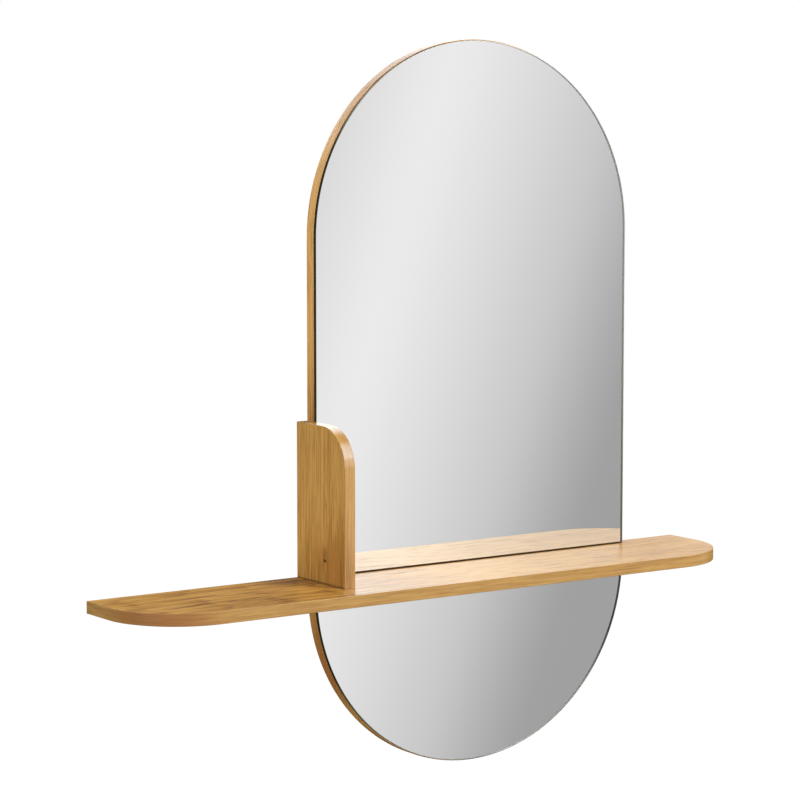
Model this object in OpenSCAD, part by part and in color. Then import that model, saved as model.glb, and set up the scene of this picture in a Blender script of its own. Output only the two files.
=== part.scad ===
// Wall mirror with a shelf and an upright side panel, in millimetres.
// The origin is the centre of the backing board's rear face, which lies on the wall.
// +X is to the right and +Z is up; the object stands out from the wall along -Y.

/* [Backing board] */
// Width of the backing board over its edge band
board_w = 580; // [540:10:640]
// Height of the backing board over its edge band
board_h = 1100; // [1060:10:1300]
// Thickness of the backing board
board_t = 18; // [18:1:22]
// Thickness of the oak edge band on every board
band_t = 1; // [0.5:0.5:2]

/* [Mirror glass] */
// Thickness of the mirror glass
glass_t = 3; // [3:1:5]
// Distance from the board's outline to the edge of the glass
glass_inset = 1.5; // [1:0.5:4]
// Gap between a glass edge and the shelf
glass_gap = 1; // [0.5:0.5:3]
// Thickness of the mounting tape behind the glass
tape_t = 1; // [1:0.5:2]
// Width of a strip of mounting tape
tape_w = 20; // [12:1:30]

/* [Shelf] */
// Depth of the shelf, from the wall to its front edge
shelf_depth = 178; // [150:1:220]
// Thickness of the shelf
shelf_t = 18; // [18:1:22]
// Height of the shelf's top face, measured from the board's centre
shelf_top = -239; // [-250:1:-200]
// Reach of the shelf past the board on the left
left_wing = 370; // [200:10:450]
// Reach of the shelf past the board on the right
right_wing = 116; // [116:1:300]
// Radius of the shelf's two front corners
shelf_corner_r = 116; // [60:1:116]

/* [Upright panel] */
// Thickness of the upright panel
upright_t = 18; // [18:1:22]
// Depth of the upright panel, from the wall to its front edge
upright_depth = 127; // [125:1:145]
// Height of the upright panel above the shelf
upright_h = 231; // [180:1:280]
// Radius of the upright panel's front top corner
upright_corner_r = 60; // [20:1:80]

/* [Wall hangers] */
// Distance between the two keyholes
hanger_spacing = 300; // [200:10:360]
// Height at which the object hangs on its wall screws, from the board's centre
hanger_z = 400; // [340:5:410]
// Diameter of the keyhole's entry
keyhole_entry_d = 11; // [10:0.5:12]
// Width of the keyhole's slot
keyhole_slot_w = 5.5; // [4.5:0.5:6]

/* [Hidden] */
$fn = 96;

// A cut reaches this far past the face that it opens
over = 1;
// Radial room between a fastener or dowel and its hole
hole_room = 0.1;
// Room on each side between the shelf's notch and the board's edge
notch_room = 0.3;

// Planes that several pieces share
shelf_bottom = shelf_top - shelf_t;
shelf_mid = shelf_top - shelf_t / 2;
shelf_left_x = -board_w / 2 - left_wing;
shelf_right_x = board_w / 2 + right_wing;
upright_right_x = -board_w / 2;
upright_left_x = upright_right_x - upright_t;
upright_mid_x = upright_right_x - upright_t / 2;
upright_top = shelf_top + upright_h;
glass_back_y = -board_t - tape_t;
glass_w = board_w - 2 * glass_inset;
glass_h = board_h - 2 * glass_inset;
upper_glass_bottom = shelf_top + glass_gap;
lower_glass_top = shelf_bottom - glass_gap;

// Mounting tape: upright strips, kept back from the edge of the glass
tape_strip_count = 5;
tape_side_margin = 28;
tape_round_margin = 20;
tape_end_gap = 10;
tape_pitch = (glass_w - 2 * tape_side_margin - tape_w) / (tape_strip_count - 1);

// Share of a countersunk head's height that is its straight rim
head_rim = 0.15;

// Confirmat screws
confirmat_d = 7;
confirmat_core_d = 5;
confirmat_head_d = 10;
confirmat_head_h = 3.5;
confirmat_length = 50;
confirmat_pitch = 3;
confirmat_hex = 4;
confirmat_hex_depth = 2.5;
shelf_screw_recess = 0.5;
shelf_screw_xs = [-240, -80, 80, 240];
upright_screw_ys = [-42, -104];

// Oak plugs over the upright's screw heads
cap_d = 12;
cap_t = 2;

// Beech dowels
dowel_d = 8;
dowel_length = 30;
dowel_short_end = 12;
dowel_chamfer = 1;
shelf_dowel_xs = [-160, 0, 160];
upright_dowel_ys = [-16, -73];
side_dowel_zs = [upright_top - 50, shelf_top + 60];

// Keyhole plates and their screws
plate_w = 36;
plate_h = 70;
plate_t = 2;
plate_corner_r = 5;
plate_room = 0.2;
keyhole_drop = 18;
pocket_r = 8;
pocket_depth = 12;
plate_mid_z = hanger_z - keyhole_drop / 2;
plate_screw_offset = 27;
plate_screw_d = 3.5;
plate_screw_core_d = 2.4;
plate_screw_head_d = 7;
plate_screw_head_h = 2;
plate_screw_length = 14;
plate_screw_pitch = 1.4;
cross_slot = [4, 0.9, 1.2];

// ---- Outlines and placing ----

// Upright outline with straight sides and round ends
module stadium(w, h) {
    square([w, h - w], center = true);
    for (side = [-1, 1])
        translate([0, side * (h - w) / 2])
            circle(d = w, $fn = 256);
}

// Rectangle with four round corners
module rounded_plate(w, h, r) {
    square([w - 2 * r, h], center = true);
    square([w, h - 2 * r], center = true);
    for (x = [-1, 1], y = [-1, 1])
        translate([x * (w / 2 - r), y * (h / 2 - r)])
            circle(r);
}

// Upright slot outline that starts at the origin and runs up
module slot_up(w, run) {
    circle(d = w);
    translate([-w / 2, 0])
        square([w, run]);
    translate([0, run])
        circle(d = w);
}

// Turns an outline drawn in X and Z into a sheet that stands out from the wall
module stand_out(from_y, thickness) {
    translate([0, from_y, 0])
        rotate([90, 0, 0])
            linear_extrude(thickness)
                children();
}

// Points a piece drawn up +Z away from the wall
module away_from_wall(x, y, z) {
    translate([x, y, z])
        rotate([90, 0, 0])
            children();
}

// Shelf seen from above; inset is the edge band's share of the ends and the front
module shelf_outline(inset = 0) {
    left = shelf_left_x + inset;
    right = shelf_right_x - inset;
    front = -shelf_depth + inset;
    r = shelf_corner_r - inset;
    notch_w = board_w + 2 * notch_room;
    difference() {
        intersection() {
            translate([left, front])
                square([right - left, -front]);
            union() {
                translate([left, front + r])
                    square([right - left, -front - r]);
                translate([left + r, front])
                    square([right - left - 2 * r, -front]);
                for (x = [left + r, right - r])
                    translate([x, front + r])
                        circle(r, $fn = 192);
            }
        }
        translate([-notch_w / 2, -board_t])
            square([notch_w, board_t + over]);
    }
}

// Upright panel seen from its side: Y across and Z up
module upright_outline(inset = 0) {
    front = -upright_depth + inset;
    top = upright_top - inset;
    r = upright_corner_r - inset;
    translate([front, shelf_top])
        square([-front, top - r - shelf_top]);
    translate([front + r, shelf_top])
        square([-front - r, top - shelf_top]);
    translate([front + r, top - r])
        circle(r, $fn = 128);
}

// Turns an outline drawn in Y and Z into the upright's thickness
module upright_sheet() {
    translate([upright_left_x, 0, 0])
        rotate([90, 0, 90])
            linear_extrude(upright_t)
                children();
}

// ---- Fasteners and dowels, each drawn up +Z from its head or lower end ----

// Outline points of a ridged thread from z = from to z = to
function thread_points(core_r, r, pitch, from, to) = [
    for (z = [from : pitch : to - pitch])
        each [[core_r, z], [r, z + pitch / 2]]
];

// Countersunk screw with a ridged thread and a conical point
module countersunk_screw(head_d, head_h, d, core_d, pitch, shank, length) {
    point = d;
    rotate_extrude($fn = 48)
        polygon(concat(
            [[0, 0], [head_d / 2, 0], [head_d / 2, head_h * head_rim], [d / 2, head_h]],
            [[d / 2, shank]],
            thread_points(core_d / 2, d / 2, pitch, shank + pitch / 2, length - point),
            [[core_d / 2, length - point], [0, length]]
        ));
}

// Hole that takes a countersunk screw sunk by recess, open past the face above it
module countersunk_hole(head_d, head_h, d, length, recess) {
    room = 2 * hole_room;
    cylinder(d = d + room, h = length + 1);
    translate([0, 0, head_h * head_rim])
        cylinder(d1 = head_d + room, d2 = d + room, h = head_h * (1 - head_rim) + hole_room);
    translate([0, 0, -recess - over])
        cylinder(d = head_d + room, h = recess + over + head_h * head_rim);
}

module confirmat_screw() {
    difference() {
        countersunk_screw(
            confirmat_head_d, confirmat_head_h, confirmat_d, confirmat_core_d,
            confirmat_pitch, board_t - 4, confirmat_length
        );
        translate([0, 0, -over])
            cylinder(
                d = confirmat_hex / cos(30), h = confirmat_hex_depth + over, $fn = 6
            );
    }
}

module confirmat_hole() {
    countersunk_hole(
        confirmat_head_d, confirmat_head_h, confirmat_d, confirmat_length,
        shelf_screw_recess
    );
}

module plate_screw() {
    difference() {
        countersunk_screw(
            plate_screw_head_d, plate_screw_head_h, plate_screw_d, plate_screw_core_d,
            plate_screw_pitch, plate_screw_head_h + 1, plate_screw_length
        );
        for (turn = [0, 90])
            rotate([0, 0, turn])
                cube([cross_slot[0], cross_slot[1], 2 * cross_slot[2]], center = true);
    }
}

module plate_screw_hole() {
    countersunk_hole(
        plate_screw_head_d, plate_screw_head_h, plate_screw_d, plate_screw_length, 0
    );
}

module dowel() {
    r = dowel_d / 2;
    rotate_extrude($fn = 48)
        polygon([
            [0, 0], [r - dowel_chamfer, 0], [r, dowel_chamfer],
            [r, dowel_length - dowel_chamfer],
            [r - dowel_chamfer, dowel_length], [0, dowel_length]
        ]);
}

// Hole for a dowel, a millimetre deeper than the dowel at both ends
module dowel_hole() {
    translate([0, 0, -1])
        cylinder(d = dowel_d + 2 * hole_room, h = dowel_length + 2);
}

// ---- Where the fasteners and dowels sit ----

module at_shelf_screws() {
    for (x = shelf_screw_xs)
        away_from_wall(x, -shelf_screw_recess, shelf_mid)
            children();
}

module at_shelf_dowels() {
    for (x = shelf_dowel_xs)
        away_from_wall(x, -board_t + dowel_short_end, shelf_mid)
            children();
}

module at_upright_screws() {
    for (y = upright_screw_ys)
        translate([upright_mid_x, y, shelf_bottom + cap_t + hole_room])
            children();
}

module at_upright_caps() {
    for (y = upright_screw_ys)
        translate([upright_mid_x, y, shelf_bottom])
            children();
}

module at_upright_dowels() {
    for (y = upright_dowel_ys)
        translate([upright_mid_x, y, shelf_top - dowel_short_end])
            children();
}

module at_side_dowels() {
    for (z = side_dowel_zs)
        translate([upright_right_x - dowel_short_end, -board_t / 2, z])
            rotate([0, 90, 0])
                children();
}

module at_plate_screws(x) {
    for (side = [-1, 1])
        away_from_wall(x, 0, plate_mid_z + side * plate_screw_offset)
            children();
}

// Room that a keyhole plate and the wall screw's head take in the board
module hanger_recess(x) {
    translate([x, over, plate_mid_z])
        stand_out(0, plate_t + over)
            rounded_plate(plate_w + plate_room, plate_h + plate_room, plate_corner_r);
    translate([x, over, hanger_z - keyhole_drop])
        stand_out(0, pocket_depth + over)
            slot_up(2 * pocket_r, keyhole_drop);
    at_plate_screws(x)
        plate_screw_hole();
}

module hanger_plate(x) {
    difference() {
        translate([x, 0, plate_mid_z])
            stand_out(0, plate_t)
                rounded_plate(plate_w, plate_h, plate_corner_r);
        translate([x, over, hanger_z - keyhole_drop])
            stand_out(0, plate_t + 2 * over) {
                circle(d = keyhole_entry_d);
                slot_up(keyhole_slot_w, keyhole_drop);
            }
        at_plate_screws(x)
            plate_screw_hole();
    }
}

// Strips of mounting tape between two heights, cut short of the round end of the glass.
// end is 1 for the glass above the shelf and -1 for the glass below it.
module glass_tape(end, start_z) {
    r = glass_w / 2;
    for (i = [0 : tape_strip_count - 1]) {
        x = (i - (tape_strip_count - 1) / 2) * tape_pitch;
        reach = sqrt(r * r - pow(abs(x) + tape_w / 2, 2)) - tape_round_margin;
        end_z = end * ((glass_h - glass_w) / 2 + reach);
        translate([x - tape_w / 2, -board_t - tape_t, min(start_z, end_z)])
            cube([tape_w, tape_t, abs(end_z - start_z)]);
    }
}

// ---- Pieces ----

module backing_board() {
    color("tan")
        difference() {
            stand_out(0, board_t)
                stadium(board_w - 2 * band_t, board_h - 2 * band_t);
            at_shelf_screws()
                confirmat_hole();
            at_shelf_dowels()
                dowel_hole();
            at_side_dowels()
                dowel_hole();
            for (side = [-1, 1])
                hanger_recess(side * hanger_spacing / 2);
        }
}

module backing_board_edge_band() {
    color("peru")
        difference() {
            stand_out(0, board_t)
                difference() {
                    stadium(board_w, board_h);
                    stadium(board_w - 2 * band_t, board_h - 2 * band_t);
                }
            at_side_dowels()
                dowel_hole();
        }
}

module upper_mirror_glass() {
    color("lightgray")
        stand_out(glass_back_y, glass_t)
            intersection() {
                stadium(glass_w, glass_h);
                translate([-glass_w / 2, upper_glass_bottom])
                    square([glass_w, glass_h / 2 - upper_glass_bottom]);
            }
}

module lower_mirror_glass() {
    color("lightgray")
        stand_out(glass_back_y, glass_t)
            intersection() {
                stadium(glass_w, glass_h);
                translate([-glass_w / 2, -glass_h / 2])
                    square([glass_w, glass_h / 2 + lower_glass_top]);
            }
}

module upper_glass_tape() {
    color("dimgray")
        glass_tape(1, upper_glass_bottom + tape_end_gap);
}

module lower_glass_tape() {
    color("dimgray")
        glass_tape(-1, lower_glass_top - tape_end_gap);
}

module shelf_board() {
    color("burlywood")
        difference() {
            translate([0, 0, shelf_bottom])
                linear_extrude(shelf_t)
                    shelf_outline(band_t);
            at_shelf_screws()
                confirmat_hole();
            at_shelf_dowels()
                dowel_hole();
            at_upright_screws()
                confirmat_hole();
            at_upright_caps()
                translate([0, 0, -over])
                    cylinder(d = cap_d + 2 * hole_room, h = cap_t + over);
            at_upright_dowels()
                dowel_hole();
        }
}

module shelf_edge_band() {
    color("peru")
        translate([0, 0, shelf_bottom])
            linear_extrude(shelf_t)
                difference() {
                    shelf_outline();
                    shelf_outline(band_t);
                }
}

module upright_panel() {
    color("burlywood")
        difference() {
            upright_sheet()
                upright_outline(band_t);
            at_upright_screws()
                confirmat_hole();
            at_upright_dowels()
                dowel_hole();
            at_side_dowels()
                dowel_hole();
        }
}

module upright_edge_band() {
    color("peru")
        upright_sheet()
            difference() {
                upright_outline();
                upright_outline(band_t);
            }
}

module shelf_screws() {
    color("silver")
        at_shelf_screws()
            confirmat_screw();
}

module shelf_dowels() {
    color("wheat")
        at_shelf_dowels()
            dowel();
}

module upright_screws() {
    color("silver")
        at_upright_screws()
            confirmat_screw();
}

module upright_screw_caps() {
    color("burlywood")
        at_upright_caps()
            cylinder(d = cap_d, h = cap_t);
}

module upright_dowels() {
    color("wheat")
        at_upright_dowels()
            dowel();
}

module upright_side_dowels() {
    color("wheat")
        at_side_dowels()
            dowel();
}

module hanger_plate_left() {
    color("gainsboro")
        hanger_plate(-hanger_spacing / 2);
}

module hanger_plate_right() {
    color("gainsboro")
        hanger_plate(hanger_spacing / 2);
}

module hanger_plate_left_screws() {
    color("silver")
        at_plate_screws(-hanger_spacing / 2)
            plate_screw();
}

module hanger_plate_right_screws() {
    color("silver")
        at_plate_screws(hanger_spacing / 2)
            plate_screw();
}

backing_board();
backing_board_edge_band();
upper_mirror_glass();
lower_mirror_glass();
upper_glass_tape();
lower_glass_tape();
shelf_board();
shelf_edge_band();
upright_panel();
upright_edge_band();
shelf_screws();
shelf_dowels();
upright_screws();
upright_screw_caps();
upright_dowels();
upright_side_dowels();
hanger_plate_left();
hanger_plate_right();
hanger_plate_left_screws();
hanger_plate_right_screws();
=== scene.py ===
"""Wall mirror with an oak shelf and upright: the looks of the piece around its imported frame.

Lengths are metres and angles radians, unless a name says otherwise. +X is to the right and +Z up.
The wall is the plane y = 0, so whatever stands in front of it has a negative y.
"""
import math
from dataclasses import dataclass
from typing import NamedTuple

import bmesh
import bpy
from bpy.props import FloatProperty, FloatVectorProperty, IntProperty, PointerProperty
from mathutils import Matrix, Vector


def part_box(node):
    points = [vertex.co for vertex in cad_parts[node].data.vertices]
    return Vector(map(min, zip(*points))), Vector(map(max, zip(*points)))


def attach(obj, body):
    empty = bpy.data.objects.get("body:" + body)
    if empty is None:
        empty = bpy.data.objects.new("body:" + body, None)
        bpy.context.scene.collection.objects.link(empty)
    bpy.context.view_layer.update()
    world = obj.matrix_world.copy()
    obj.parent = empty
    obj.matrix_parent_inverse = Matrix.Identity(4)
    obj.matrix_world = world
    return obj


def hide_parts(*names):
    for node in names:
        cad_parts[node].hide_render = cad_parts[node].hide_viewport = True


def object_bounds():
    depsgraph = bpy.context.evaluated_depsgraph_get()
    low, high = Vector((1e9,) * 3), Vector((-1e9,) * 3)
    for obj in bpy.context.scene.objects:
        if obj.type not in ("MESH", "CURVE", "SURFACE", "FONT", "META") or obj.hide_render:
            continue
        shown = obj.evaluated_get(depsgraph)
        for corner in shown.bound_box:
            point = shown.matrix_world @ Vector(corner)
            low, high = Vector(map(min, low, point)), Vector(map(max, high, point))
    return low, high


bl_info = {
    "name": "Oak Shelf Mirror",
    "version": (1, 0, 0),
    "blender": (4, 5, 0),
    "location": "View3D > Sidebar > Shelf Mirror",
    "description": "Oak shelf mirror: bands, glass, veneers, hardware and studio",
    "category": "Object",
}

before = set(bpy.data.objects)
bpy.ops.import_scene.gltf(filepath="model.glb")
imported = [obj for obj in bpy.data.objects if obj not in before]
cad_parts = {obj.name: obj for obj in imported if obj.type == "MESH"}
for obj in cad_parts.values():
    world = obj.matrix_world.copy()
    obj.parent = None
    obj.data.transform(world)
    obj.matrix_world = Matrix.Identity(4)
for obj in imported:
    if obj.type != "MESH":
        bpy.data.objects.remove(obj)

CAD_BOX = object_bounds()
BOX = {name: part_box(name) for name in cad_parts}
MM = 0.001
TOUCHING = 0.01 * MM  # points nearer than this are the same
BAND_MAP = "band"  # name of the map that runs along an edge band

RIGHT = Vector((1, 0, 0))
BACK = Vector((0, 1, 0))
UP = Vector((0, 0, 1))


# ---------------- settings

def number_setting(name, description, default, **kind):
    return FloatProperty(name=name, description=description, default=default, **kind)


def length_setting(name, description, default, **limits):
    return number_setting(name, description, default, unit="LENGTH", **limits)


def angle_setting(name, description, degrees):
    return number_setting(name, description, math.radians(degrees), subtype="ANGLE")


def colour_setting(name, description, default):
    return FloatVectorProperty(
        name=name, description=description, default=default, subtype="COLOR", min=0, max=1
    )


class ShelfMirrorSizes(bpy.types.PropertyGroup):
    """Sizes of what the looks add to the boards and panes."""

    arris: length_setting(
        "Eased edge", "Radius of the bands' outer arrises", 0.7 * MM, min=0.1 * MM, max=0.9 * MM
    )
    shelf_corner: length_setting("Shelf corner", "Radius of the shelf's two front corners", 116 * MM)
    upright_corner: length_setting("Upright corner", "Radius of its front top corner", 60 * MM)
    silver_depth: length_setting("Silver depth", "How deep the silver appears to lie", 2.3 * MM)
    glass_rim: length_setting("Glass rim", "Width of the ground rim round the pane's front", 0.8 * MM)
    glass_arris: length_setting("Glass arris", "Chamfer on the pane's front edge", 0.25 * MM)
    round_steps: IntProperty(
        name="Round steps", description="Steps in a half turn of an outline",
        default=96, min=16, max=256,
    )


class ShelfMirrorColours(bpy.types.PropertyGroup):
    """Colours of the finishes, as linear light."""

    oak_pale: colour_setting("Oak, pale", "Palest wood between two rings", (0.62, 0.345, 0.084))
    oak_ring: colour_setting("Oak, ring", "Darker wood of a ring's dense side", (0.40, 0.190, 0.032))
    oak_pore: colour_setting("Oak, pore", "Bottom of the open pores", (0.20, 0.085, 0.018))
    # also the colour of painted warm shade at feet and lower corners
    oak_blush_and_warm_shade: colour_setting("Oak, blush", "Redder streaks in the wood", (0.50, 0.200, 0.045))
    oak_knot: colour_setting("Oak, knot", "Heart of a pin knot", (0.11, 0.045, 0.008))
    glass_edge: colour_setting("Glass edge", "Ground edge of the pane", (0.030, 0.031, 0.018))
    # painted highlight colour of the ground edge, where light would shine into it
    glass_painted_glint: colour_setting(
        "Glass edge, lit", "Ground edge where light shines into it", (0.80, 0.81, 0.76)
    )
    # painted shade colour of the ground edge where it meets the shelf
    glass_seam_shade: colour_setting(
        "Glass edge, shut in", "Ground edge where it meets the shelf", (0.055, 0.026, 0.004)
    )
    silver: colour_setting("Silver", "What the silvered pane returns", (0.81, 0.815, 0.81))
    backing_paint: colour_setting(
        "Backing paint", "Paint that protects the silver from behind", (0.16, 0.19, 0.20)
    )
    tape: colour_setting("Foam tape", "Mounting tape behind the glass", (0.015, 0.015, 0.016))
    zinc: colour_setting("Zinc plate", "Zinc plated steel", (0.62, 0.63, 0.64))
    board_core: colour_setting(
        "Board core", "Raw fibreboard where a board is cut or drilled", (0.33, 0.20, 0.10)
    )
    # the dark paint also stands for the shade in the narrow gap beside the glass
    board_paint_and_gap_shade: colour_setting(
        "Board paint", "Dark paint on the board's face behind the glass", (0.022, 0.018, 0.010)
    )
    beech: colour_setting("Beech", "Raw beech of the dowels", (0.60, 0.40, 0.22))


class ShelfMirrorStudio(bpy.types.PropertyGroup):
    """Camera, lamps and floor."""

    camera_place: FloatVectorProperty(
        name="Camera",
        description="Where the camera stands",
        default=(-2.605034, -3.591121, 0.489306),
        subtype="TRANSLATION",
        unit="LENGTH",
    )
    camera_yaw: angle_setting(
        "Camera yaw", "How far the camera looks to the right of straight back", 34.63803
    )
    camera_pitch: angle_setting("Camera pitch", "How far the camera looks down", 6.23878)
    camera_lens: number_setting(
        "Lens", "Focal length in millimetres on a 36 mm sensor", 131.685, min=10
    )
    floor_drop: length_setting("Floor drop", "How far the floor lies below the mirror", 0.8)
    floor_size: length_setting("Floor size", "Side of the square floor", 40)
    key_azimuth: angle_setting("Key azimuth", "Softbox direction, right of straight in front", 32)
    key_height: angle_setting("Key elevation", "Softbox direction above the horizon", 34)
    key_distance: length_setting("Key distance", "Softbox distance from the mirror", 8)
    key_width: length_setting("Key width", "Width of the softbox", 2.4)
    key_tall: length_setting("Key height", "Height of the softbox", 4)
    key_power: number_setting("Key power", "Radiant power of the softbox", 560, unit="POWER")
    rim_azimuth: angle_setting("Rim azimuth", "Rim lamp direction, right of straight in front", 165)
    rim_height: angle_setting("Rim elevation", "Rim lamp direction above the horizon", 20)
    rim_distance: length_setting("Rim distance", "Rim lamp distance from the round top", 0.9)
    rim_width: length_setting("Rim width", "Width of the rim lamp", 1.6)
    rim_tall: length_setting("Rim height", "Height of the rim lamp", 0.6)
    rim_power: number_setting("Rim power", "Radiant power of the rim lamp", 8.8, unit="POWER")
    ambient: number_setting("Ambient", "Strength of the soft light from all round", 1.0)


def sizes():
    return bpy.context.scene.shelf_mirror_sizes


def colours():
    return bpy.context.scene.shelf_mirror_colours


def studio():
    return bpy.context.scene.shelf_mirror_studio


# ---------------- shader nodes

class Wire:
    """One output of a shader node. Sums on it add Math nodes."""

    def __init__(self, sheet, socket):
        self.sheet = sheet
        self.socket = socket

    def math(self, operation, *others):
        return self.sheet.math(operation, self, *others)

    def __add__(self, other):
        return self.math("ADD", other)

    __radd__ = __add__

    def __sub__(self, other):
        return self.math("SUBTRACT", other)

    def __rsub__(self, other):
        return self.sheet.math("SUBTRACT", other, self)

    def __mul__(self, other):
        return self.math("MULTIPLY", other)

    __rmul__ = __mul__

    def __truediv__(self, other):
        return self.math("DIVIDE", other)


class NodeSheet:
    """A node tree that is being written, for a material or for the world."""

    def __init__(self, tree):
        self.tree = tree
        self.tree.nodes.clear()

    def node(self, kind, sockets=None, output=0, **settings):
        """Adds a ShaderNode of a kind: its settings first, then each socket's value or link."""
        made = self.tree.nodes.new("ShaderNode" + kind)
        for name, value in settings.items():
            setattr(made, name, value)
        for name, value in (sockets or {}).items():
            if isinstance(value, Wire):
                self.tree.links.new(value.socket, made.inputs[name])
            else:
                made.inputs[name].default_value = value
        return Wire(self, made.outputs[output])

    def math(self, operation, *values):
        return self.node("Math", dict(enumerate(values)), operation=operation)

    def ramp(self, value, stops, interpolation="LINEAR"):
        """A level read off stops, each of them a (place, level)."""
        made = self.node("ValToRGB", {"Fac": value})
        ramp = made.socket.node.color_ramp
        ramp.interpolation = interpolation
        while len(ramp.elements) < len(stops):
            ramp.elements.new(1.0)
        for element, (place, level) in zip(ramp.elements, stops):
            element.position = place
            element.color = (level, level, level, 1)
        return made

    def between(self, value, low, high, soft="SMOOTHSTEP"):
        """0 below low and 1 above high, or the other way round if low is above high."""
        first, second = (low, high) if low < high else (high, low)
        ends = (0.0, 1.0) if low < high else (1.0, 0.0)
        sockets = {0: value, 1: first, 2: second, 3: ends[0], 4: ends[1]}
        return self.node("MapRange", sockets, interpolation_type=soft)

    def mix(self, share, first, second):
        """A colour between two colours."""
        first, second = (
            (*tuple(colour)[:3], 1.0) if not isinstance(colour, Wire) else colour
            for colour in (first, second)
        )
        sockets = {0: share, 6: first, 7: second}
        return self.node("Mix", sockets, 2, data_type="RGBA")

    def vector(self, x, y, z):
        return self.node("CombineXYZ", {0: x, 1: y, 2: z})

    def split(self, vector):
        part = self.node("SeparateXYZ", {0: vector})
        return [Wire(self, socket) for socket in part.socket.node.outputs]

    def window(self, angle, *edges):
        """1 within a range of an angle. An edge is two angles in degrees: 0 at one and 1 at the other."""
        first, *others = (
            self.between(angle, math.radians(outer), math.radians(inner)) for outer, inner in edges
        )
        return math.prod(others, start=first)

    def finish_with(self, shader, kind="ShaderNodeOutputMaterial"):
        out = self.tree.nodes.new(kind)
        self.tree.links.new(shader.socket, out.inputs["Surface"])

    def noise(self, vector, detail=2.0, roughness=0.5, scale=1.0):
        sockets = {"Vector": vector, "Scale": scale, "Detail": detail, "Roughness": roughness}
        return self.node("TexNoise", sockets)


class Finish(NodeSheet):
    """A material whose Principled shader gets its plain sockets first and its patterns after."""

    def __init__(self, name, **plain):
        self.material = bpy.data.materials.new(name)
        self.material.use_nodes = True
        super().__init__(self.material.node_tree)
        self.shader = self.tree.nodes.new("ShaderNodeBsdfPrincipled")
        for socket, value in plain.items():
            self.shader.inputs[socket.replace("_", " ")].default_value = value
        self.finish_with(Wire(self, self.shader.outputs[0]))

    def place(self):
        """Where a point lies, in metres in the frame."""
        return self.node("TexCoord", output="Object")

    def facing(self):
        """Which way a point's surface looks, in the frame's axes."""
        return self.node("TexCoord", output="Normal")

    def unrolled(self):
        """A band's own map: metres along it, and metres across it."""
        return self.node("UVMap", uv_map=BAND_MAP)

    def streaks(self, axis, along_scale, across_scale, detail=3.0):
        """Noise at each place, with a scale of its own along one axis."""
        parts = (
            part * (along_scale if name == axis else across_scale)
            for name, part in zip("xyz", self.split(self.place()))
        )
        return self.noise(self.vector(*parts), detail=detail)

    def feed(self, **wires):
        """Links patterns to the shader's sockets, and returns the finished material."""
        for socket, wire in wires.items():
            self.tree.links.new(wire.socket, self.shader.inputs[socket.replace("_", " ")])
        return self.material

    def bumped(self, height, depth, strength=1.0):
        sockets = {"Height": height, "Distance": depth, "Strength": strength}
        return self.node("Bump", sockets)


def shade(colour, factor):
    return tuple(channel * factor for channel in colour)


# ---------------- oak

@dataclass
class Figure:
    """How a sheet of veneer was cut from the log, and what marks it has, painted shade and highlights
    among them.

    A mark is (along, across, half length, half width, strength), in metres.
    """

    heart: float = 0.3  # where the log's heart lies, across the sheet
    flat_at: float = 0.0  # where along the sheet the heart comes up to its face
    tilt: float = 0.0  # how fast the heart dives away from there
    spacing: float = 3 * MM  # from ring to ring
    flame: float = 1.0  # below 1 the rings' tips are broader than a round log's
    contrast: float = 0.5  # how much darker a ring's dense side is
    ground: float = 0.36  # how dark the wood is between its marks
    crisp: float = 1.0  # above 1 the rings' dense sides are narrower
    coarse: float = 1.0  # how many times wider than usual the fibres are
    fibres: float = 0.45  # how much the fibres show
    fade: tuple = ()  # (from, to) along the sheet: past "to" its rings and fibres are faint
    knots: tuple = ()  # (along, across, radius) of each
    stains_and_shade: tuple = ()  # darker marks, and paler ones where the strength is negative; many are painted shade, some paler ones painted highlights
    strokes: tuple = ()  # short dark lines of a flame
    lean: float = 0.0  # how far across a stroke drifts for each metre along
    blushes_and_warm_shade: tuple = ()  # redder marks, some of them painted warm shade
    seed: float = 0.0


class Layer(NamedTuple):
    """One layer of noise in the wood."""

    step: int  # sets its noise apart from the other layers'
    along: float  # scale along the grain
    across: float  # scale across the grain
    detail: float
    depth: float = 1.0  # how far it moves what it is added to


DRIFT = Layer(1, 2.6, 10.0, 1.5, 22 * MM)  # slow wander of the rings, in metres
WAVER = Layer(2, 7.0, 150.0, 2.0, 0.8)  # quick wander of the rings, in rings
BREAKS = Layer(3, 9.0, 120.0, 2.0)  # where a ring shows and where it doesn't
FIBRE = Layer(4, 18.0, 560.0, 3.0)
STREAK = Layer(5, 6.0, 240.0, 2.0, 1.2)
CLOUD = Layer(6, 2.2, 16.0, 1.0, 0.4)
PORE = Layer(7, 40.0, 1000.0, 1.0)
FINEST = Layer(8, 18.0, 560.0, 3.0, 0.6)  # fibres of usual width on a coarse sheet

LAYER_GAP = 3.7  # between the noise of two layers or two seeds
LACQUER_ROUGHNESS = 0.28
CORE_ROUGHNESS = 0.9
RING_PROFILE = [(0.0, 1.0), (0.14, 0.7), (0.42, 0.2), (0.86, 0.0), (1.0, 1.0)]
FADED = 0.3  # what fading leaves of the rings and fibres


def oval(f, along, across, mark, lean=0.0):
    """1 in the middle of a mark and 0 past its outline, times the mark's strength."""
    middle_along, middle_across, half_length, half_width, strength = mark
    off_along = along - middle_along
    off_across = (across - middle_across - off_along * lean) / half_width
    off_along = off_along / half_length
    far = (off_along * off_along + off_across * off_across).math("SQRT")
    return f.between(far, 1.0, 0.0) * strength


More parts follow.
